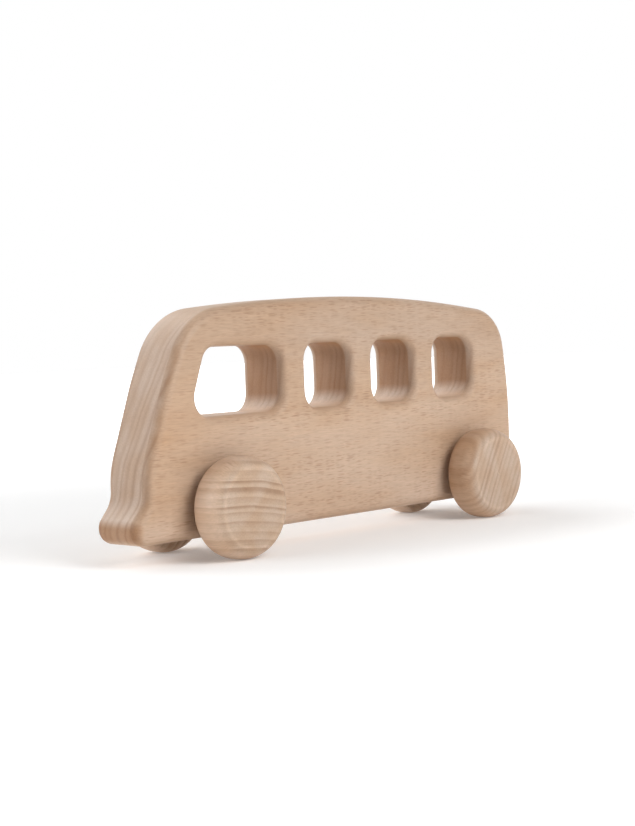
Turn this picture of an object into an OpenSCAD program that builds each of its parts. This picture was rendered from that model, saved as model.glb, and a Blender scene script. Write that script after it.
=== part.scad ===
// Toy bus: one thick wooden slab with a row of windows, on two axles with round wooden wheels.
// Sizes are in millimetres. The front of the bus points along +X, its left side along +Y, and +Z is up.
// The origin lies on the floor under the middle of the bus.

/* [Body] */
// Length of the slab, from the bumper's nose to the back
body_length = 232.8; // [222:0.2:256]
// Thickness of the slab
body_thick = 25; // [20:0.5:32]
// Height of the roof's crown above the floor
roof_height = 100.8; // [96:0.2:112]
// Gap between the floor and the underside
ground_clearance = 8.4; // [6:0.2:11]
// Radius on every long edge of the slab and of its windows
edge_round = 4.3; // [2:0.1:5.5]

/* [Front] */
// How far the bumper stands ahead of the front panel
bumper_reach = 6.6; // [4:0.1:9]
// Height of the bumper's upright above the underside
bumper_height = 8.5; // [7.5:0.1:11]
// Radius of the bumper's nose
bumper_round = 6; // [5.6:0.1:8]
// Lean of the sweep above the bumper, in degrees from upright
sweep_lean = 40.5; // [30:0.5:55]
// Radius of the hollow above the bumper
sweep_round = 10; // [6:0.5:14]
// Height above the floor where the windscreen begins
screen_start = 36; // [32:0.5:44]
// Lean of the windscreen, in degrees from upright
screen_lean = 20; // [14:0.5:26]
// Radius between the front panel and the windscreen
screen_round = 38; // [20:1:50]
// Height above the floor where the brow begins
brow_start = 70; // [62:0.5:78]
// Lean of the brow over the windscreen, in degrees from upright
brow_lean = 24.6; // [20.5:0.1:30]
// Radius between the windscreen and the brow
brow_round = 125; // [60:1:180]

/* [Roof] */
// Radius of the roof's arch
roof_round = 713; // [560:1:900]
// Fall of the roof's front end, in degrees
roof_front_fall = 5.1; // [3:0.1:7]
// Fall of the roof's rear end, in degrees
roof_rear_fall = 7.1; // [5:0.1:9]
// Radius between the brow and the roof
front_top_round = 29.4; // [18:0.2:36]
// Radius between the roof and the back
rear_top_round = 20.2; // [14:0.2:26]

/* [Back] */
// Height above the floor where the back begins to lean in
back_bend = 58.9; // [50:0.1:66]
// Lean of the upper back, in degrees from upright
back_lean = 9.6; // [5:0.1:14]
// Radius between the back and its upper part
back_round = 191; // [100:1:240]
// Radius between the back and the underside
back_foot_round = 8; // [6:0.5:14]

/* [Windows] */
// Number of square windows behind the front one
square_windows = 3; // [1:1:3]
// Height of the window sills above the floor
sill_height = 55; // [50:0.5:60]
// Height of the windows
window_height = 26.8; // [20:0.2:30]
// Length of a square window along the bus
window_length = 26.8; // [20:0.2:29]
// Wood between two windows
window_pillar = 14.4; // [11:0.2:16]
// Wood between the back of the bus and the last window
back_pillar = 28.8; // [24:0.2:34]
// Wood between the windscreen and the front window, along the bus
screen_pillar = 17; // [13:0.2:22]
// Radius of the windows' corners
window_corner = 7.4; // [4:0.2:9]

/* [Wheels] */
// Diameter of the wheels
wheel_d = 40; // [36:0.5:46]
// Thickness of a wheel, without its hub
wheel_thick = 14.7; // [13.2:0.1:18]
// Gap between the slab and a wheel's inner face
wheel_gap = 3.7; // [2:0.1:6]
// Distance between the two axles
wheelbase = 153.3; // [140:0.1:164]
// Distance from the bumper's nose to the front axle
front_overhang = 43.5; // [38:0.1:50]
// Diameter of the flat on a wheel's outer face
outer_flat_d = 31.3; // [24:0.1:33]
// Width of the outer rounding, along the axle
outer_round_w = 7.6; // [4:0.1:8.8]
// Diameter of the flat on a wheel's inner face
inner_flat_d = 34.4; // [26:0.2:36]
// Width of the inner rounding, along the axle
inner_round_w = 5; // [3:0.1:5.8]
// Diameter of the hub on a wheel's inner face
hub_d = 18; // [12:0.5:24]
// Diameter of the turning mark in the middle of a wheel
centre_mark_d = 1.6; // [0.8:0.1:3]
// Depth of the turning mark
centre_mark_depth = 0.6; // [0.2:0.1:1.5]

/* [Axles] */
// Diameter of the axles
axle_d = 8; // [6:0.5:10]
// Wood left between an axle's end and a wheel's outer face
axle_cover = 5; // [3:0.1:8]

/* [Fits] */
// Difference in diameter between an axle and its bore in the slab
axle_clearance = 0.16; // [0.04:0.02:0.18]
// Difference in diameter between an axle and its tight bore in a wheel
wheel_squeeze = 0.04; // [0.02:0.01:0.08]
// Play between a wheel's hub and the slab
hub_play = 0.4; // [0.3:0.05:1]

/* [Hidden] */

beech_slab = "#d8b795";
beech_wheel = "#cfae8e";
beech_dowel = "#d2b08c";

// How far a cut runs past the face it starts from
overrun = 1;
// Largest gap between a round outline and its facets
facet_gap = 0.05;
// Facets across a rounded edge
edge_facets = 4;
// Facets across a wheel's rounding
rim_facets = 10;

nose_x = body_length / 2;
back_x = -body_length / 2;
front_x = nose_x - bumper_reach;
front_axle_x = nose_x - front_overhang;
rear_axle_x = front_axle_x - wheelbase;
axle_z = wheel_d / 2;
half_thick = body_thick / 2;
wheel_inner_y = half_thick + wheel_gap;
wheel_outer_y = wheel_inner_y + wheel_thick;
hub_y = half_thick + hub_play;
axle_end_y = wheel_outer_y - axle_cover;
left_side = 1;
right_side = -1;

// A unit step along a heading in the side view, in degrees
function step(heading) = [cos(heading), sin(heading)];

// The outward side of an outline that runs anticlockwise along a heading
function outward(heading) = [sin(heading), -cos(heading)];

// A turn between two headings, from -180 to 180 degrees
function turn(from, to) = (to - from + 540) % 360 - 180;

function cross_of(a, b) = a.x * b.y - a.y * b.x;

// Where two lines meet, each line being [a point on it, its heading]
function meet(a, b) =
    a[0] + step(a[1]) * cross_of(b[0] - a[0], step(b[1])) / cross_of(step(a[1]), step(b[1]));

// Where the windscreen's plane is at a height
function screen_x(height) = front_x - (height - screen_start) * tan(screen_lean);

// A line that touches the roof's arch where it falls towards the front by an angle.
// The arch has its crown over the middle of the bus.
function roof_line(fall) =
    [[0, roof_height - roof_round] + roof_round * outward(180 - fall), 180 - fall];

// Points of a closed outline of straight lines with rounded corners, each as [point, outward side].
// rounds[i] is the radius between line i and the next, and shrinks where its two lines are too short.
function rounded_outline(lines, rounds) =
    let (
        count = len(lines),
        after = [for (i = [0 : count - 1]) (i + 1) % count],
        before = [for (i = [0 : count - 1]) (i + count - 1) % count],
        corners = [for (i = [0 : count - 1]) meet(lines[i], lines[after[i]])],
        turns = [for (i = [0 : count - 1]) turn(lines[i][1], lines[after[i]][1])],
        reaches = [for (i = [0 : count - 1]) rounds[i] * tan(abs(turns[i]) / 2)],
        fills = [for (i = [0 : count - 1])
            (reaches[before[i]] + reaches[i]) / norm(corners[i] - corners[before[i]])]
    )
    [for (i = [0 : count - 1])
        let (
            radius = rounds[i] / max(1, fills[i], fills[after[i]]),
            hand = sign(turns[i]),
            heading = lines[i][1],
            start = corners[i] - step(heading) * radius * tan(abs(turns[i]) / 2),
            centre = start - outward(heading) * hand * radius,
            facets = ceil(abs(turns[i]) / (2 * acos(1 - facet_gap / radius)))
        )
        for (k = [0 : facets])
            let (side = outward(heading + turns[i] * k / facets))
            [centre + side * hand * radius, side]];

// Lines of the body's side view, anticlockwise from the underside
body_lines = [
    [[0, ground_clearance], 0],
    [[nose_x, 0], 90],
    [[nose_x, ground_clearance + bumper_height], 90 + sweep_lean],
    [[front_x, 0], 90],
    [[front_x, screen_start], 90 + screen_lean],
    [[screen_x(brow_start), brow_start], 90 + brow_lean],
    roof_line(roof_front_fall),
    roof_line(-roof_rear_fall),
    [[back_x, back_bend], 270 - back_lean],
    [[back_x, 0], 270]
];

// Radii between one line of the body and the next
body_rounds = [
    bumper_round,
    bumper_round,
    sweep_round,
    screen_round,
    brow_round,
    front_top_round,
    roof_round,
    rear_top_round,
    back_round,
    back_foot_round
];

// Lines of a window whose rear wall is at rear_x, and whose front wall starts at front and has a lean
function window_lines(rear_x, front, lean) = [
    [[0, sill_height], 0],
    [front, 90 + lean],
    [[0, sill_height + window_height], 180],
    [[rear_x, 0], 270]
];

window_rounds = [window_corner, window_corner, window_corner, window_corner];

// Rear wall of a window, counted from the back of the bus
function window_rear_x(index) = back_x + back_pillar + index * (window_length + window_pillar);

// Sections of a quarter round on the slab's side, as [inset from the outline, place across the slab]
edge_sections = [
    for (k = [0 : edge_facets])
        let (angle = 90 * k / edge_facets)
        [edge_round * (1 - sin(angle)), half_thick - edge_round * (1 - cos(angle))]
];

// The same sections on both sides, from the right side to the left
function both_sides(sections) = concat(
    [for (s = sections) [s[0], -s[1]]],
    [for (k = [len(sections) - 1 : -1 : 0]) sections[k]]
);

// A solid through equal rings of points, from the right side to the left
module skin(rings) {
    size = len(rings[0]);
    last = len(rings) - 1;
    sides = [
        for (r = [0 : last - 1], i = [0 : size - 1])
            let (j = (i + 1) % size)
            [r * size + j, (r + 1) * size + j, (r + 1) * size + i, r * size + i]
    ];
    right_cap = [for (i = [size - 1 : -1 : 0]) i];
    left_cap = [for (i = [0 : size - 1]) last * size + i];
    polyhedron([for (ring = rings, p = ring) p], concat(sides, [right_cap, left_cap]));
}

// A ring of an outline, moved in by an inset and placed across the slab
function ring(outline, inset, across) = [
    for (p = outline)
        let (place = p[0] - p[1] * inset)
        [place.x, across, place.y]
];

// The slab without its windows and bores
module rounded_slab() {
    outline = rounded_outline(body_lines, body_rounds);
    skin([for (s = both_sides(edge_sections)) ring(outline, s[0], s[1])]);
}

// The cut for a window, flared by the rounded edges on both sides of the slab
module window_cut(lines) {
    outline = rounded_outline(lines, window_rounds);
    mouth = [[edge_round, half_thick + overrun]];
    skin([for (s = both_sides(concat(mouth, edge_sections))) ring(outline, -s[0], s[1])]);
}

module square_window(index) {
    rear_x = window_rear_x(index);
    window_cut(window_lines(rear_x, [rear_x + window_length, sill_height], 0));
}

module front_window() {
    front = [screen_x(sill_height) - screen_pillar, sill_height];
    window_cut(window_lines(window_rear_x(square_windows), front, screen_lean));
}

module axle_bore(axle_x) {
    length = body_thick + 2 * overrun;
    translate([axle_x, 0, axle_z])
        rotate([90, 0, 0])
            cylinder(d = axle_d + axle_clearance, h = length, center = true, $fn = 64);
}

module body() {
    color(beech_slab)
        difference() {
            rounded_slab();
            for (index = [0 : square_windows - 1])
                square_window(index);
            front_window();
            axle_bore(front_axle_x);
            axle_bore(rear_axle_x);
        }
}

module axle(axle_x) {
    color(beech_dowel)
        translate([axle_x, 0, axle_z])
            rotate([90, 0, 0])
                cylinder(d = axle_d, h = 2 * axle_end_y, center = true, $fn = 64);
}

// A quarter of an oval rounding from its flat to the tread, seen along the axle
function rounding(flat_r, flat_y, width) = [
    for (k = [0 : rim_facets])
        let (angle = 90 * k / rim_facets)
        [flat_r + (wheel_d / 2 - flat_r) * sin(angle), flat_y + width * (1 - cos(angle))]
];

// Half of a wheel's section, as [distance from the axle line, place across the bus]
module wheel_section() {
    bore_r = (axle_d - wheel_squeeze) / 2;
    inner = rounding(inner_flat_d / 2, wheel_inner_y, inner_round_w);
    outer = rounding(outer_flat_d / 2, wheel_outer_y, -outer_round_w);
    polygon(concat(
        [[0, axle_end_y], [bore_r, axle_end_y]],
        [[bore_r, hub_y], [hub_d / 2, hub_y], [hub_d / 2, wheel_inner_y]],
        inner,
        [for (k = [rim_facets : -1 : 0]) outer[k]],
        [[centre_mark_d / 2, wheel_outer_y], [0, wheel_outer_y - centre_mark_depth]]
    ));
}

module wheel(axle_x, side) {
    color(beech_wheel)
        translate([axle_x, 0, axle_z])
            rotate([-90 * side, 0, 0])
                rotate_extrude($fn = 96)
                    wheel_section();
}

module front_axle() { axle(front_axle_x); }
module rear_axle() { axle(rear_axle_x); }
module front_left_wheel() { wheel(front_axle_x, left_side); }
module front_right_wheel() { wheel(front_axle_x, right_side); }
module rear_left_wheel() { wheel(rear_axle_x, left_side); }
module rear_right_wheel() { wheel(rear_axle_x, right_side); }

body();
front_axle();
rear_axle();
front_left_wheel();
front_right_wheel();
rear_left_wheel();
rear_right_wheel();
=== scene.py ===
import math
import bmesh
import bpy
from mathutils import Matrix, Vector, geometry


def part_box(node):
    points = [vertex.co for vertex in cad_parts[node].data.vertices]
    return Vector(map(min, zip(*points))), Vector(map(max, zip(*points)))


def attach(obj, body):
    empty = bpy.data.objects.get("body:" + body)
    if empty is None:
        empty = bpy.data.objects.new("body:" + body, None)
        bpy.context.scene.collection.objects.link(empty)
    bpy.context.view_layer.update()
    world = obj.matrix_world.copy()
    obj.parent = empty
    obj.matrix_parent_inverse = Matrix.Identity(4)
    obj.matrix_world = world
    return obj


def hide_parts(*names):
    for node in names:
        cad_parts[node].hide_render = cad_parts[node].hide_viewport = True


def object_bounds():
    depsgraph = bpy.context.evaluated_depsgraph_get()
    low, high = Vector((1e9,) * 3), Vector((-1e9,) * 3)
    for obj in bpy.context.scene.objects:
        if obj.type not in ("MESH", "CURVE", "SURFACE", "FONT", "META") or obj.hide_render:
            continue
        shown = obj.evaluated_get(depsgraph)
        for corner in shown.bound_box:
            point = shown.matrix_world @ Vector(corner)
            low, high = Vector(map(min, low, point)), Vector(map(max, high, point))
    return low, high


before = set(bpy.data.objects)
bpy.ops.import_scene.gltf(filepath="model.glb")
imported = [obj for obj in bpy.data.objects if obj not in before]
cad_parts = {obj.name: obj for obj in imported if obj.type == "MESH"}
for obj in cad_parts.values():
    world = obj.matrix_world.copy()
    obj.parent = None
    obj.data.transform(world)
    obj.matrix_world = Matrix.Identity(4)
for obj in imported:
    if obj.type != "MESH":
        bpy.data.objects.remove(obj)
cadLow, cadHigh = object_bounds()

mm = 0.001
scene = bpy.context.scene
bodyLow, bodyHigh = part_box("body")
print("frame: body", [round(v, 4) for v in bodyHigh - bodyLow])


# Helpers for every piece
finish = {
    "sharpAngle": 35,  # degrees; edges past this stay crisp
    "flatShare": 0.97,  # a round starts this level with the flat beside it
    "squareShare": 0.99999,  # a flat is at least this square to the axles' line
    "mergeGap": 0.001 * mm,
    "near": 0.01 * mm,  # places closer than this are the same
}


def settleNormals(mesh):
    # flats keep one normal, and the rounds beside them start from it
    level = {}
    for face in mesh.polygons:
        if abs(face.normal.y) > finish["squareShare"]:
            level.update({v: face.normal.copy() for v in face.vertices})
    normals = [corner.vector.copy() for corner in mesh.corner_normals]
    for face in mesh.polygons:
        for i in face.loop_indices:
            flat = level.get(mesh.loops[i].vertex_index)
            if flat and face.normal.dot(flat) > finish["flatShare"]:
                normals[i] = flat
    mesh.normals_split_custom_set(normals)


def finishPiece(bm, name, ridesOn, node):
    bmesh.ops.remove_doubles(bm, verts=bm.verts, dist=finish["mergeGap"])
    bmesh.ops.recalc_face_normals(bm, faces=bm.faces)
    for face in bm.faces:
        face.smooth = True
    for edge in bm.edges:
        edge.smooth = edge.calc_face_angle(0) < math.radians(finish["sharpAngle"])
    mesh = bpy.data.meshes.new(name)
    bm.to_mesh(mesh)
    bm.free()
    settleNormals(mesh)
    piece = bpy.data.objects.new(name, mesh)
    scene.collection.objects.link(piece)
    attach(piece, ridesOn)
    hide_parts(node)
    return piece


def pieceName(node):
    return node.replace("_", " ").title().replace(" ", "")


def vertsOf(geom):
    return [g for g in geom if isinstance(g, bmesh.types.BMVert)]


# Slab of the bus: its side view is a ring of straight lines with rounded corners
slab = {
    "bumperReach": 6.6 * mm,
    "bumperHeight": 8.5 * mm,
    "bumperRound": 6 * mm,
    "sweepLean": 40.5,  # degrees from upright, like the other leans
    "sweepRound": 10 * mm,
    "screenStart": 36 * mm,  # heights above the floor
    "screenLean": 20,
    "screenRound": 38 * mm,
    "browStart": 70 * mm,
    "browLean": 24.6,
    "browRound": 125 * mm,
    "roofRound": 713 * mm,
    "roofFrontFall": 5.1,
    "roofRearFall": 7.1,
    "frontTopRound": 29.4 * mm,
    "rearTopRound": 20.2 * mm,
    "backBend": 58.9 * mm,
    "backLean": 9.6,
    "backRound": 191 * mm,
    "backFootRound": 8 * mm,
    "noseReach": 4 * mm,  # how far back the nose's painted shade reaches, and how it fades
    "noseBlend": 3 * mm,
    "edgeRound": 4.3 * mm,
    "edgeSteps": 10,
    "wearAndShadeDepth": 0.99,  # share of the round that is darkened by wear and painted shade
    "wearAndShadeCurve": 1.5,  # powers: how late each comes in across the round
    "paintedShadeCurve": 12,
    "flangeSpare": 0.5 * mm,
    "axleBore": 8.16 * mm,
    "boreSteps": 48,
    "chordGap": 0.008 * mm,  # how far a round may lie inside its true arc
}
windows = {
    "squares": 3,
    "sill": 55 * mm,
    "height": 26.8 * mm,
    "length": 26.8 * mm,
    "pillar": 14.4 * mm,
    "backPillar": 28.8 * mm,
    "screenPillar": 17 * mm,
    "corner": 7.4 * mm,
}


def along(degrees):
    return Vector((math.cos(math.radians(degrees)), 0, math.sin(math.radians(degrees))))


def outward(degrees):
    return along(degrees - 90)


def lineThrough(x, z, degrees):
    return Vector((x, 0, z)), degrees


def meetOf(a, b):
    return geometry.intersect_line_line(a[0], a[0] + along(a[1]), b[0], b[0] + along(b[1]))[0]


def cornersOf(lines, rounds):
    corners = []
    for i, line in enumerate(lines):
        follow = lines[(i + 1) % len(lines)]
        turn = (follow[1] - line[1] + 180) % 360 - 180
        hand = math.copysign(1, turn)  # -1 in a hollow
        reach = rounds[i] * math.tan(math.radians(abs(turn)) / 2)
        centre = meetOf(line, follow) - along(line[1]) * reach - outward(line[1]) * hand * rounds[i]
        step = 2 * math.acos(1 - slab["chordGap"] / rounds[i])
        corners.append({
            "centre": centre,
            "side": outward(line[1]),
            "turn": math.radians(turn),
            "radius": hand * rounds[i],
            "steps": max(3, math.ceil(math.radians(abs(turn)) / step)),
        })
    return corners


def layLoop(bm, corners, inset, across):
    known = set(bm.edges)
    ends = []
    for corner in corners:
        centre = corner["centre"] + Vector((0, across, 0))
        first = bm.verts.new(centre + corner["side"] * (corner["radius"] - inset))
        spun = bmesh.ops.spin(bm, geom=[first], cent=centre, axis=(0, -1, 0), angle=corner["turn"],
                              steps=corner["steps"], use_duplicate=False)
        ends.append((first, vertsOf(spun["geom_last"])[0]))
    for i, pair in enumerate(ends):
        bm.edges.new((pair[1], ends[(i + 1) % len(ends)][0]))
    return [e for e in bm.edges if e not in known]


def bridgeAll(bm, loops):
    for a, b in zip(loops, loops[1:]):
        bmesh.ops.bridge_loops(bm, edges=a + b)


def cutOutline(bm, corners, inward):
    # a wall across the slab with a narrow flange on each side, which the rounded edge is bevelled into
    flange = inward * (slab["edgeRound"] + slab["flangeSpare"])
    places = [(flange, bodyLow.y), (0, bodyLow.y), (0, bodyHigh.y), (flange, bodyHigh.y)]
    loops = [layLoop(bm, corners, inset, across) for inset, across in places]
    bridgeAll(bm, loops)
    return loops


def slabCorners():
    s = slab
    frontX = bodyHigh.x - s["bumperReach"]
    browX = frontX - (s["browStart"] - s["screenStart"]) * math.tan(math.radians(s["screenLean"]))
    roofMid = bodyHigh.z - s["roofRound"]

    def roofLine(fall):
        touch = outward(180 - fall) * s["roofRound"]
        return lineThrough(touch.x, touch.z + roofMid, 180 - fall)

    lines = [
        lineThrough(0, bodyLow.z, 0),
        lineThrough(bodyHigh.x, 0, 90),
        lineThrough(bodyHigh.x, bodyLow.z + s["bumperHeight"], 90 + s["sweepLean"]),
        lineThrough(frontX, 0, 90),
        lineThrough(frontX, s["screenStart"], 90 + s["screenLean"]),
        lineThrough(browX, s["browStart"], 90 + s["browLean"]),
        roofLine(s["roofFrontFall"]),
        roofLine(-s["roofRearFall"]),
        lineThrough(bodyLow.x, s["backBend"], 270 - s["backLean"]),
        lineThrough(bodyLow.x, 0, 270),
    ]
    rounds = [s["bumperRound"], s["bumperRound"], s["sweepRound"], s["screenRound"], s["browRound"],
              s["frontTopRound"], s["roofRound"], s["rearTopRound"], s["backRound"], s["backFootRound"]]
    return cornersOf(lines, rounds)


def windowCorners(index):
    w = windows
    rearX = bodyLow.x + w["backPillar"] + index * (w["length"] + w["pillar"])
    frontX, lean = rearX + w["length"], 0
    if index == w["squares"]:  # the front one follows the windscreen
        lean = slab["screenLean"]
        rise = w["sill"] - slab["screenStart"]
        frontX = bodyHigh.x - slab["bumperReach"] - rise * math.tan(math.radians(lean)) - w["screenPillar"]
    lines = [
        lineThrough(0, w["sill"], 0),
        lineThrough(frontX, w["sill"], 90 + lean),
        lineThrough(0, w["sill"] + w["height"], 180),
        lineThrough(rearX, 0, 270),
    ]
    return cornersOf(lines, [w["corner"]] * len(lines))


def boreLoop(bm, axle, across):
    low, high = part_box(axle)
    centre = Vector(((low.x + high.x) / 2, across, (low.z + high.z) / 2))
    known = set(bm.edges)
    first = bm.verts.new(centre + Vector((slab["axleBore"] / 2, 0, 0)))
    bmesh.ops.spin(bm, geom=[first], cent=centre, axis=(0, 1, 0), angle=2 * math.pi,
                   steps=slab["boreSteps"], use_merge=True, use_duplicate=False)
    return [e for e in bm.edges if e not in known]


def makeSlab():
    bm = bmesh.new()
    outlines = [cutOutline(bm, slabCorners(), 1)]
    outlines += [cutOutline(bm, windowCorners(i), -1) for i in range(windows["squares"] + 1)]
    rims = [(loops[0], loops[-1]) for loops in outlines]
    for axle in ("front_axle", "rear_axle"):
        bore = [boreLoop(bm, axle, bodyLow.y), boreLoop(bm, axle, bodyHigh.y)]
        bridgeAll(bm, bore)
        rims.append(bore)
    for side in (0, 1):  # right, then left
        bmesh.ops.triangle_fill(bm, edges=[e for rim in rims for e in rim[side]], use_beauty=True)
    # the slab's rounded edges take wear and painted shade; the window walls take painted shade
    wearAndLight = bm.verts.layers.float.new("edgeWearAndLight")
    paintedShade = bm.verts.layers.float.new("paintedShade")  # painted shade on the window walls
    for i, loops in enumerate(outlines):
        for v in {v for e in loops[1] + loops[2] for v in e.verts}:
            v[paintedShade if i else wearAndLight] = 1
    sharp = [e for loops in outlines for e in loops[1] + loops[2]]
    rounded = bmesh.ops.bevel(bm, geom=sharp, offset=slab["edgeRound"], affect="EDGES",
                              segments=slab["edgeSteps"], profile=0.5, material=-1)
    for v in {v for face in rounded["faces"] for v in face.verts}:
        depth = min(1, max(0, (bodyHigh.y - abs(v.co.y)) / slab["edgeRound"]))
        # wear and painted shade, darker towards the narrow face, up to a crisp border
        v[wearAndLight] *= math.sin(math.acos(1 - depth)) ** slab["wearAndShadeCurve"] if depth < slab["wearAndShadeDepth"] else 0
        v[paintedShade] *= depth ** slab["paintedShadeCurve"]  # painted shade only on the flat wall, not on its rounds
    for v in bm.verts:  # painted shade on the bumper's nose as well
        noseShade = (v.co.x - bodyHigh.x + slab["noseReach"]) / slab["noseBlend"]
        v[paintedShade] = max(v[paintedShade], min(1, noseShade))
    return finishPiece(bm, "slab", "chassis", "body")


slabPiece = makeSlab()
print("slab:", len(slabPiece.data.polygons), "faces")


# Wheels: a turned section, spun about the axle line
wheel = {
    "gapToSlab": 3.7 * mm,
    "outerFlat": 31.3 * mm,  # a diameter, as are the inner flat, the hub and the mark
    "outerRound": 7.6 * mm,  # a width along the axle, as is the inner round
    "innerFlat": 34.4 * mm,
    "innerRound": 5 * mm,
    "hub": 18 * mm,
    "hubSoft": 0.4 * mm,
    "hubSteps": 3,
    "mark": 1.6 * mm,
    "markDepth": 0.6 * mm,
    "creaseWidth": 1.4 * mm,  # a painted highlight, paler where the outer flat ends
    "roundSteps": 20,
    "turnSteps": 144,
}


def roundQuarter(bm, centre, rise, width, side):
    # a quarter circle out to the tread, then drawn out along the axle into an oval
    first = bm.verts.new(centre + Vector((0, side * rise, 0)))
    known = set(bm.verts)
    spun = bmesh.ops.spin(bm, geom=[first], cent=centre, axis=(0, 0, -side), angle=math.pi / 2,
                          steps=wheel["roundSteps"], use_duplicate=False)
    arc = [first] + [v for v in bm.verts if v not in known]
    bmesh.ops.scale(bm, vec=(1, width / rise, 1), space=Matrix.Translation(-centre), verts=arc)
    return first, vertsOf(spun["geom_last"])[0]


def makeWheel(node, axle, body):
    low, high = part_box(node)
    axleLow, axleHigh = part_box(axle)
    side = 1 if low.y > 0 else -1
    middle = (low + high) / 2
    tread = (high.x - low.x) / 2
    outerY = max(abs(low.y), abs(high.y))
    hubY = min(abs(low.y), abs(high.y))
    innerY = bodyHigh.y + wheel["gapToSlab"]
    boreR = (axleHigh.x - axleLow.x) / 2
    bm = bmesh.new()

    def spot(radius, y):
        return Vector((middle.x + radius, y * side, middle.z))

    def dot(radius, y):
        return bm.verts.new(spot(radius, y))

    outerR, innerR, hubR = (wheel[k] / 2 for k in ("outerFlat", "innerFlat", "hub"))
    outerMid = spot(outerR, outerY - wheel["outerRound"])
    innerMid = spot(innerR, innerY + wheel["innerRound"])
    outer = roundQuarter(bm, outerMid, tread - outerR, wheel["outerRound"], side)
    inner = roundQuarter(bm, innerMid, tread - innerR, wheel["innerRound"], -side)
    path = [dot(0, outerY - wheel["markDepth"]), dot(wheel["mark"] / 2, outerY)]
    path += [dot(outerR - wheel["creaseWidth"], outerY), outer[0]]
    path += [None, outer[1], inner[1], None]  # None stands for a rounding that is there already
    path += [inner[0], dot(hubR, innerY), dot(hubR, hubY)]
    path += [dot(boreR, hubY), dot(boreR, axleHigh.y), dot(0, axleHigh.y)]
    for a, b in zip(path, path[1:]):
        if a and b:
            bm.edges.new((a, b))
    bmesh.ops.spin(bm, geom=list(bm.verts) + list(bm.edges), cent=middle, axis=(0, 1, 0),
                   angle=2 * math.pi, steps=wheel["turnSteps"], use_merge=True, use_duplicate=False)
    bmesh.ops.remove_doubles(bm, verts=bm.verts, dist=finish["mergeGap"])

    def onHubRim(v):
        off = abs((v.co - middle).xz.length - hubR), abs(abs(v.co.y) - hubY)
        return max(off) < finish["near"]

    hubRim = [e for e in bm.edges if all(onHubRim(v) for v in e.verts)]
    bmesh.ops.bevel(bm, geom=hubRim, offset=wheel["hubSoft"], affect="EDGES", segments=wheel["hubSteps"],
                    profile=0.5, material=-1)
    # the crease where the outer flat ends takes a painted highlight
    wearAndLight = bm.verts.layers.float.new("edgeWearAndLight")
    for v in bm.verts:
        past = abs((v.co - middle).xz.length - outerR) / wheel["creaseWidth"]
        if abs(v.co.y) > innerY + wheel["innerRound"]:
            v[wearAndLight] = max(0, 1 - past)
    return finishPiece(bm, pieceName(node), body, node)


wheelPieces = {}
for end in ("front", "rear"):
    for side in ("left", "right"):
        node = f"{end}_{side}_wheel"
        wheelPieces[node] = makeWheel(node, f"{end}_axle", f"{end}_wheelset")
print("wheels:", len(wheelPieces))


# Axles: dowels with softened ends
dowel = {"sides": 64, "endSoft": 0.8 * mm, "softSteps": 3}


def makeAxle(node, body):
    low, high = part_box(node)
    middle = (low + high) / 2
    radius = (high.x - low.x) / 2
    place = Matrix.Translation(middle) @ Matrix.Rotation(math.pi / 2, 4, "X")
    bm = bmesh.new()
    bmesh.ops.create_cone(bm, cap_ends=True, segments=dowel["sides"], radius1=radius, radius2=radius,
                          depth=high.y - low.y, matrix=place)
    rims = [e for e in bm.edges if abs(e.verts[0].co.y - e.verts[1].co.y) < finish["near"]]
    soft = bmesh.ops.bevel(bm, geom=rims, offset=dowel["endSoft"], affect="EDGES",
                           segments=dowel["softSteps"], profile=0.5, material=-1)
    # the softened ends take the same paler tint as the wheels' painted crease highlight
    wearAndLight = bm.verts.layers.float.new("edgeWearAndLight")
    for v in {v for face in soft["faces"] for v in face.verts}:
        v[wearAndLight] = 1
    return finishPiece(bm, pieceName(node), body, node)


axlePieces = {f"{end}_axle": makeAxle(f"{end}_axle", f"{end}_wheelset") for end in ("front", "rear")}
print("axles:", len(axlePieces))


# Beech: growth layers, rays cut into short dark flecks, and fine fibres, all in the wood's own millimetres.
# There the grain runs along X, the growth layers are stacked along Y and the board's width is along Z.
beech = {
    "pale": (0.588, 0.421, 0.307),
    "warm": (0.545, 0.362, 0.24),
    "late": (0.330, 0.185, 0.105),  # the dark end of a growth layer
    "fleck": (0.255, 0.115, 0.055),
    # painted shade on the window walls and the bumper's nose; painted highlight on the sills
    "paintedShadeTint": (0.83, 0.67, 0.52),
    "sillHighlightTint": (1.14, 1.2, 1.27),
    "roughness": 0.43,
    "fibreRoughness": 0.16,  # how far the fibres change it
    "wornRoughness": -0.04,
    "specular": 0.3,
    "bumpDepth": 0.05 * mm,
    "bumpStrength": 0.5,
    "lateRelief": 0.25,  # heights, where the fibres' own is 1
    "fleckRelief": -0.6,
}
pattern = {
    "unevenReach": 2.3,  # in layers, as is the next
    "fineReach": 0.45,
    "lateStart": 0.2,  # where in a layer it starts to darken
    "lateLeast": 0.35,  # the faintest layer, where the strongest is 1
    "shortFleckShare": 0.7,
    "pickReach": 0.4,
    "quarterFlecks": 0.25,  # on faces across the layers
    "patchLeast": 0.5,
    # how much of the edges' wear and painted light stays in the mottle, and on up-facing faces
    "mottleWearAndLight": 0.5,
    "upperWearAndLight": 0.1,
    # where a noise starts to count, and counts in full
    "fine": (0.45, 0.75),
    "patch": (0.36, 0.66),
    "broad": (0.3, 0.7),
    "mottle": (0.3, 0.7),
    # a fleck's full middle and its rim, in cells
    "longFleck": (0.15, 0.5),
    "shortFleck": (0.15, 0.55),
    # how squarely a face looks that way before it counts, and counts in full
    "endFacing": (0.35, 0.95),
    "sawnFacing": (0.3, 0.9),
    "sillFacing": (0.0, 0.7),
    "upperFacing": (0.4, 0.75),
}


def addNode(tree, kind, inputs, **settings):
    made = tree.nodes.new("ShaderNode" + kind)
    for key, value in settings.items():
        setattr(made, key, value)
    for key, value in inputs.items():
        if isinstance(value, bpy.types.NodeSocket):
            tree.links.new(value, made.inputs[key])
        else:
            made.inputs[key].default_value = value
    return made


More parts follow.
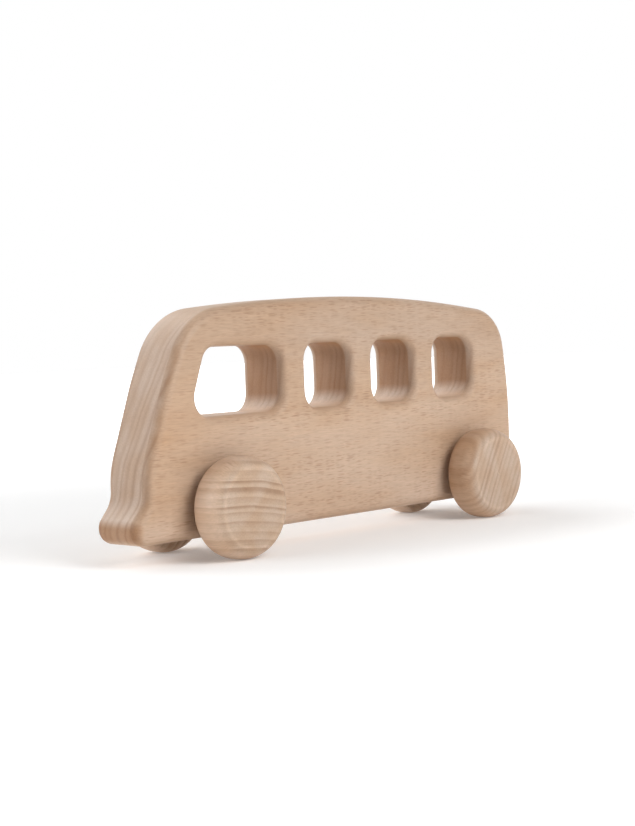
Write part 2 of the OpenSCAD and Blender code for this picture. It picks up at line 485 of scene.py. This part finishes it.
def beechMaterial(name, look):
    material = bpy.data.materials.new(name)
    material.use_nodes = True
    tree = material.node_tree
    shader = tree.nodes["Principled BSDF"]
    shader.inputs["Specular IOR Level"].default_value = beech["specular"]

    def calc(operation, a, b=0.0, c=0.0):
        return addNode(tree, "Math", {0: a, 1: b, 2: c}, operation=operation).outputs[0]

    def sized(sizes):
        return addNode(tree, "VectorMath", {0: wood, 1: sizes}, operation="DIVIDE").outputs[0]

    def noise(sizes, detail=2.0):
        made = {"Vector": sized(sizes), "Scale": 1.0, "Detail": detail}
        return addNode(tree, "TexNoise", made).outputs["Fac"]

    def stripes(place, size, detail):
        made = {"W": calc("DIVIDE", place, size), "Scale": 1.0, "Detail": detail}
        return addNode(tree, "TexNoise", made, noise_dimensions="1D").outputs["Fac"]

    def between(value, low, high, toLow=0.0, toHigh=1.0):
        ranged = {"Value": value, "From Min": low, "From Max": high, "To Min": toLow, "To Max": toHigh}
        return addNode(tree, "MapRange", ranged, interpolation_type="SMOOTHSTEP").outputs["Result"]

    def fade(share, least):
        # runs from least to 1 as the share runs from 0 to 1
        return calc("MULTIPLY_ADD", share, 1 - least, least)

    def blend(share, a, b, how="MIX"):
        return addNode(tree, "Mix", {0: share, 6: a, 7: b}, data_type="RGBA", blend_type=how).outputs[2]

    def stain(share, base, tint):
        return blend(share, base, (*tint, 1), "MULTIPLY")

    coords = addNode(tree, "TexCoord", {}).outputs
    placed = {"Vector": coords["Object"], "Location": look["pivot"], "Rotation": look["turn"],
              "Scale": (mm, mm, mm)}
    wood = addNode(tree, "Mapping", placed, vector_type="TEXTURE").outputs[0]
    turned = {"Vector": coords["Normal"], "Rotation": look["turn"]}
    facing = addNode(tree, "Mapping", turned, vector_type="TEXTURE").outputs[0]
    place = addNode(tree, "SeparateXYZ", {0: wood}).outputs
    face = addNode(tree, "SeparateXYZ", {0: facing}).outputs
    endGrain = between(calc("ABSOLUTE", face[0]), *pattern["endFacing"])
    sawn = calc("ABSOLUTE", face[1])

    # growth layers: a leaning, bowed and wavering stack, clearest on the cut ends
    depth = calc("MULTIPLY_ADD", place[2], look["layerLean"], place[1])
    depth = calc("MULTIPLY_ADD", calc("MULTIPLY", place[2], place[2]), look["layerBow"], depth)
    depth = calc("MULTIPLY_ADD", calc("SUBTRACT", noise(look["waverSize"]), 0.5), look["waver"], depth)
    uneven = stripes(depth, look["layer"] * pattern["unevenReach"], 1.0)
    count = calc("MULTIPLY_ADD", uneven, look["unevenness"], calc("DIVIDE", depth, look["layer"]))
    phase = calc("FRACT", count)
    late = calc("MULTIPLY", between(phase, pattern["lateStart"], look["latePeak"]),
                between(phase, look["latePeak"], 1.0, 1.0, 0.0))
    number = {"W": calc("FLOOR", count)}
    each = addNode(tree, "TexWhiteNoise", number, noise_dimensions="1D").outputs["Value"]
    late = calc("MULTIPLY", late, fade(each, pattern["lateLeast"]))
    fine = between(stripes(depth, look["layer"] * pattern["fineReach"], 2.0), *pattern["fine"])
    late = calc("MULTIPLY_ADD", fine, look["fineShare"], late)
    mottle = noise(look["mottleSize"])
    late = calc("MULTIPLY", late, calc("MULTIPLY_ADD", mottle, look["broken"], 1 - 0.5 * look["broken"]))
    late = calc("MULTIPLY", late, fade(endGrain, look["sideLayers"]))

    # rays: thin plates along the grain, which show as flecks on the sawn side
    def flecks(sizes, low, high):
        cells = addNode(tree, "TexVoronoi", {"Vector": sized(sizes), "Scale": 1.0}).outputs
        pick = addNode(tree, "SeparateColor", {0: cells["Color"]}).outputs[0]
        spots = between(cells["Distance"], low, high, 1.0, 0.0)
        picked = between(pick, look["fleckPick"], look["fleckPick"] + pattern["pickReach"])
        return calc("MULTIPLY", spots, picked)

    short = flecks(look["shortFleck"], *pattern["shortFleck"])
    short = calc("MULTIPLY", short, pattern["shortFleckShare"])
    fleck = calc("MAXIMUM", flecks(look["longFleck"], *pattern["longFleck"]), short)
    patches = between(noise(look["patchSize"]), *pattern["patch"], pattern["patchLeast"], 1.0)
    fleck = calc("MULTIPLY", fleck, between(sawn, *pattern["sawnFacing"], pattern["quarterFlecks"], 1.0))
    fleck = calc("MULTIPLY", fleck, calc("SUBTRACT", 1.0, endGrain))
    fleck = calc("MULTIPLY", calc("MULTIPLY", fleck, patches), look["fleckShare"])

    # painted light and wear: painted shade on the window walls and the bumper's nose, a painted highlight
    # on the sills, wear and painted shade on the slab's rounded edges, a painted highlight on the wheels'
    # crease
    paintedShade = addNode(tree, "Attribute", {}, attribute_name="paintedShade").outputs["Fac"]
    # the up-facing sills take a painted highlight in place of the painted shade
    sill = calc("MULTIPLY", paintedShade, between(face[2], *pattern["sillFacing"]))
    paintedShade = calc("SUBTRACT", paintedShade, sill)
    wearAndLight = addNode(tree, "Attribute", {}, attribute_name="edgeWearAndLight").outputs["Fac"]
    wearAndLight = calc("MULTIPLY", wearAndLight, between(mottle, *pattern["mottle"], pattern["mottleWearAndLight"], 1.0))
    # on up-facing faces little of the edges' painted shade and highlight is left
    wearAndLight = calc("MULTIPLY", wearAndLight, between(face[2], *pattern["upperFacing"], 1.0, pattern["upperWearAndLight"]))

    broad = between(noise(look["broadSize"]), *pattern["broad"])
    colour = blend(broad, (*beech["pale"], 1), (*beech["warm"], 1))
    colour = stain(1.0, colour, look["tone"])
    colour = blend(calc("MULTIPLY", late, look["layerShare"]), colour, (*beech["late"], 1))
    colour = blend(fleck, colour, (*beech["fleck"], 1))
    colour = stain(endGrain, colour, look["endTint"])
    # painted shade, then the sills' painted highlight, then the edges' wear and painted light
    colour = stain(paintedShade, colour, beech["paintedShadeTint"])
    colour = stain(sill, colour, beech["sillHighlightTint"])
    colour = stain(wearAndLight, colour, look["wearAndLightTint"])
    # painted shade towards the top, front top and rear, painted light towards the bottom, on the sawn sides
    for drift in look["drifts"]:
        reached = addNode(tree, "VectorMath", {0: wood, 1: drift["way"]}, operation="DOT_PRODUCT")
        reached = between(reached.outputs["Value"], *drift["reach"])
        colour = stain(calc("MULTIPLY", reached, calc("POWER", sawn, 2.0)), colour, drift["tint"])
    fibre = noise(look["fibreSize"], 4.0)
    shade = calc("MULTIPLY_ADD", calc("SUBTRACT", fibre, 0.5), look["fibreShare"], 1.0)
    shade = calc("MULTIPLY_ADD", calc("SUBTRACT", mottle, 0.5), look["mottleShare"], shade)
    grey = addNode(tree, "CombineColor", {0: shade, 1: shade, 2: shade}).outputs[0]
    tree.links.new(blend(1.0, colour, grey, "MULTIPLY"), shader.inputs["Base Color"])

    rough = beech["roughness"] - 0.5 * beech["fibreRoughness"]
    rough = calc("MULTIPLY_ADD", fibre, beech["fibreRoughness"], rough)
    rough = calc("MULTIPLY_ADD", wearAndLight, beech["wornRoughness"], rough)
    tree.links.new(rough, shader.inputs["Roughness"])
    relief = calc("MULTIPLY_ADD", late, beech["lateRelief"], fibre)
    relief = calc("MULTIPLY_ADD", fleck, beech["fleckRelief"], relief)
    raised = {"Height": relief, "Strength": beech["bumpStrength"], "Distance": beech["bumpDepth"]}
    tree.links.new(addNode(tree, "Bump", raised).outputs[0], shader.inputs["Normal"])
    return material


# The board lies with its layers along the sides
boardLook = {
    "pivot": (0, 0, 0.05),
    "turn": (0, 0, 0),
    "layer": 4.0,  # in millimetres, as are the waver and all sizes
    "layerLean": -0.17,
    "layerBow": 0.0,
    "waver": 3.5,
    "waverSize": (90, 40, 26),
    "unevenness": 1.6,
    "latePeak": 0.7,  # where in a layer its dark end is darkest
    "layerShare": 0.52,
    "fineShare": 0.2,
    "broken": 0.6,  # how far the layers fade in and out
    "sideLayers": 0.2,
    "tone": (0.96, 0.97, 0.97),
    "endTint": (0.81, 0.828, 0.87),  # on the cut ends of the grain, their own tint with a painted sheen that makes them paler and greyer
    "wearAndLightTint": (0.77, 0.68, 0.585),  # on rounded edges: wear and painted shade
    "longFleck": (6.2, 9, 0.66),
    "shortFleck": (3.3, 6, 0.52),
    "fleckPick": 0.35,
    "fleckShare": 0.46,
    "patchSize": (60, 14, 14),
    "fibreSize": (7, 0.6, 0.6),
    "fibreShare": 0.36,
    "mottleSize": (24, 3, 3.5),
    "mottleShare": 0.1,
    "broadSize": (60, 9, 14),
    "drifts": [  # how the sawn sides' colour changes towards one edge or end: painted shade towards the top, the front top and the rear, painted light towards the bottom
        {"way": (0, 0, 1), "reach": (-5, 45), "tint": (0.84, 0.865, 0.9)},
        {"way": (0, 0, -1), "reach": (15, 38), "tint": (1.05, 1.08, 1.13)},
        {"way": (0.6, 0, 0.75), "reach": (25, 62), "tint": (0.965, 0.895, 0.81)},
        {"way": (-1, 0, 0), "reach": (45, 105), "tint": (0.985, 0.955, 0.92)},
    ],
}
slabPiece.data.materials.append(beechMaterial("boardBeech", boardLook))

# Wheels are turned from rods, so their grain runs along the axle and their faces show the layers' ends
rodLook = {
    **boardLook,
    "degrees": 20,  # how the rod lay in its tree
    "layer": 3.3,
    "layerLean": 0.0,
    "waver": 1.2,
    "waverSize": (60, 16, 16),
    "unevenness": 1.1,
    "latePeak": 0.9,
    "layerShare": 0.7,
    "fineShare": 0.25,
    "broken": 1.2,
    "sideLayers": 0.45,
    "tone": (1.07, 1.1, 1.13),
    "drifts": [],
    # a painted highlight on the wheels' crease, and on the axles' softened ends
    "wearAndLightTint": (1.13, 1.14, 1.15),
    "endTint": (0.88, 0.9, 0.91),
    "fleckShare": 0.3,
    "mottleSize": (14, 5, 5),
    "broadSize": (60, 9, 9),
}
wheelLooks = {  # where a wheel differs from the rest
    "front_left_wheel": {"degrees": 0, "layerLean": -0.12, "layerBow": 0.004},
    # the rear left wheel's darker tone is painted shade on its rim; its bluer end tint brings the face back
    # paler
    "rear_left_wheel": {"degrees": 61, "layer": 2.9, "layerBow": 0.001, "waver": 0.7, "unevenness": 0.7,
                        "latePeak": 0.65, "layerShare": 0.58, "fineShare": 0.12, "sideLayers": 0.6,
                        "tone": (0.94, 0.89, 0.83), "endTint": (0.97, 1.08, 1.22)},
    "front_right_wheel": {"degrees": 40, "layer": 2.8, "layerBow": 0.004},
    "rear_right_wheel": {"degrees": 150, "layerBow": -0.005},
}
grainAlongAxle = Matrix(((0, 0, 1), (1, 0, 0), (0, 1, 0)))


def rodPlace(node, degrees):
    low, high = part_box(node)
    turn = Matrix.Rotation(math.radians(degrees), 3, "Y") @ grainAlongAxle
    return {"pivot": (low + high) / 2, "turn": turn.to_euler()}


for node, piece in wheelPieces.items():
    look = {**rodLook, **wheelLooks[node], **rodPlace(node, wheelLooks[node]["degrees"])}
    piece.data.materials.append(beechMaterial(piece.name + "Beech", look))
for node, piece in axlePieces.items():
    look = {**rodLook, **rodPlace(node, rodLook["degrees"])}
    piece.data.materials.append(beechMaterial(piece.name + "Beech", look))
print("materials:", len(bpy.data.materials))


# Floor and light
studio = {
    "floorSize": 8,
    "floorColour": (0.93, 0.93, 0.93),
    "floorRoughness": 0.9,
    "floorGlow": (0.14, 0.8),  # keeps it white, near the bus and far from it
    "glowReach": (0.2, 0.8),
    "fill": 0.01,  # light from everywhere else
    "backdrop": 0.9,  # a bright wall behind the bus, seen in the sills
    "backdropWay": (-0.68, -0.73, 0.1),
    "backdropFrom": (0.6, 0.95),  # where it fades in and is full, as cosines from its way
}
softLights = {  # degrees round from +X, degrees up, degrees across and strength
    "highLight": (95, 62, 45, 0.4),
    "frontLight": (339, 18, 48, 1.6),
    "frontHighLight": (300, 34, 48, 0.7),
    "backLight": (270, 36, 48, 1.0),
    "rearLight": (180, 22, 50, 0.5),
}
softbox = {  # up on the left, facing the bus
    "place": Vector((-0.03, 0.655, 0.41)),
    "size": 0.5,
    "watts": 3.9,
}


def makeFloor():
    bm = bmesh.new()
    bmesh.ops.create_grid(bm, x_segments=1, y_segments=1, size=studio["floorSize"] / 2,
                          matrix=Matrix.Translation((0, 0, cadLow.z)))
    mesh = bpy.data.meshes.new("floor")
    bm.to_mesh(mesh)
    bm.free()
    floor = bpy.data.objects.new("floor", mesh)
    scene.collection.objects.link(floor)
    pale = bpy.data.materials.new("paleFloor")
    pale.use_nodes = True
    tree = pale.node_tree
    shader = tree.nodes["Principled BSDF"]
    shader.inputs["Base Color"].default_value = (*studio["floorColour"], 1)
    shader.inputs["Roughness"].default_value = studio["floorRoughness"]
    shader.inputs["Specular IOR Level"].default_value = 0
    shader.inputs["Emission Color"].default_value = (1, 1, 1, 1)
    spot = addNode(tree, "TexCoord", {}).outputs["Object"]
    away = addNode(tree, "VectorMath", {0: spot}, operation="LENGTH").outputs["Value"]
    glow = {"Value": away, "From Min": studio["glowReach"][0], "From Max": studio["glowReach"][1],
            "To Min": studio["floorGlow"][0], "To Max": studio["floorGlow"][1]}
    glow = addNode(tree, "MapRange", glow, interpolation_type="SMOOTHSTEP").outputs["Result"]
    tree.links.new(glow, shader.inputs["Emission Strength"])
    mesh.materials.append(pale)


def makeLight(name, around, up, across, strength):
    data = bpy.data.lights.new(name, "SUN")
    data.angle = math.radians(across)
    data.energy = strength
    light = bpy.data.objects.new(name, data)
    light.rotation_euler = (math.radians(90 - up), 0, math.radians(around + 90))
    scene.collection.objects.link(light)


def makeSoftbox():
    data = bpy.data.lights.new("softbox", "AREA")
    data.size = softbox["size"]
    data.energy = softbox["watts"]
    box = bpy.data.objects.new("softbox", data)
    toBus = (cadLow + cadHigh) / 2 - softbox["place"]
    turned = toBus.to_track_quat("-Z", "Y").to_matrix().to_4x4()
    box.matrix_world = Matrix.Translation(softbox["place"]) @ turned
    box.visible_camera = False
    scene.collection.objects.link(box)


def makeSky():
    # white where the camera looks past the bus, but little light from it except off the backdrop
    sky = bpy.data.worlds.new("studio")
    sky.use_nodes = True
    tree = sky.node_tree
    shown = tree.nodes["Background"]
    shown.inputs["Color"].default_value = (1, 1, 1, 1)
    way = addNode(tree, "TexCoord", {}).outputs["Generated"]
    behind = addNode(tree, "VectorMath", {0: way, 1: studio["backdropWay"]}, operation="DOT_PRODUCT")
    low, high = studio["backdropFrom"]
    wall = {"Value": behind.outputs["Value"], "From Min": low, "From Max": high,
            "To Min": studio["fill"], "To Max": studio["backdrop"]}
    wall = addNode(tree, "MapRange", wall, interpolation_type="SMOOTHSTEP").outputs["Result"]
    seen = addNode(tree, "LightPath", {}).outputs["Is Camera Ray"]
    tree.links.new(addNode(tree, "Mix", {0: seen, 2: wall, 3: 1.0}).outputs[0], shown.inputs["Strength"])
    scene.world = sky


makeFloor()
makeSky()
makeSoftbox()
for name, values in softLights.items():
    makeLight(name, *values)
scene.view_settings.view_transform = "Standard"
print("studio: floor and", len(softLights) + 1, "lights")


# Camera: stands at the bus's front left, a little above its windows
lens = {
    "place": Vector((505.45, 474.5, 83.7)) * mm,
    "heading": 46.59,  # degrees round from a square look at the bus's left side
    "dip": 2.63,  # degrees, as is the roll
    "roll": 2.22,
    "focal": 71.19,
    "clip": (0.01, 50),
}


def makeCamera():
    heading, dip, roll = (math.radians(lens[k]) for k in ("heading", "dip", "roll"))
    ahead = Vector((-math.sin(heading) * math.cos(dip), -math.cos(heading) * math.cos(dip), -math.sin(dip)))
    right = Vector((-math.cos(heading), math.sin(heading), 0))
    down = ahead.cross(right)
    rolledRight = right * math.cos(roll) + down * math.sin(roll)
    rolledUp = right * math.sin(roll) - down * math.cos(roll)
    data = bpy.data.cameras.new("camera")
    data.lens = lens["focal"]
    data.clip_start, data.clip_end = lens["clip"]
    camera = bpy.data.objects.new("camera", data)
    turned = Matrix((rolledRight, rolledUp, -ahead)).transposed().to_4x4()
    camera.matrix_world = Matrix.Translation(lens["place"]) @ turned
    scene.collection.objects.link(camera)
    scene.camera = camera


makeCamera()
print("camera: in place")
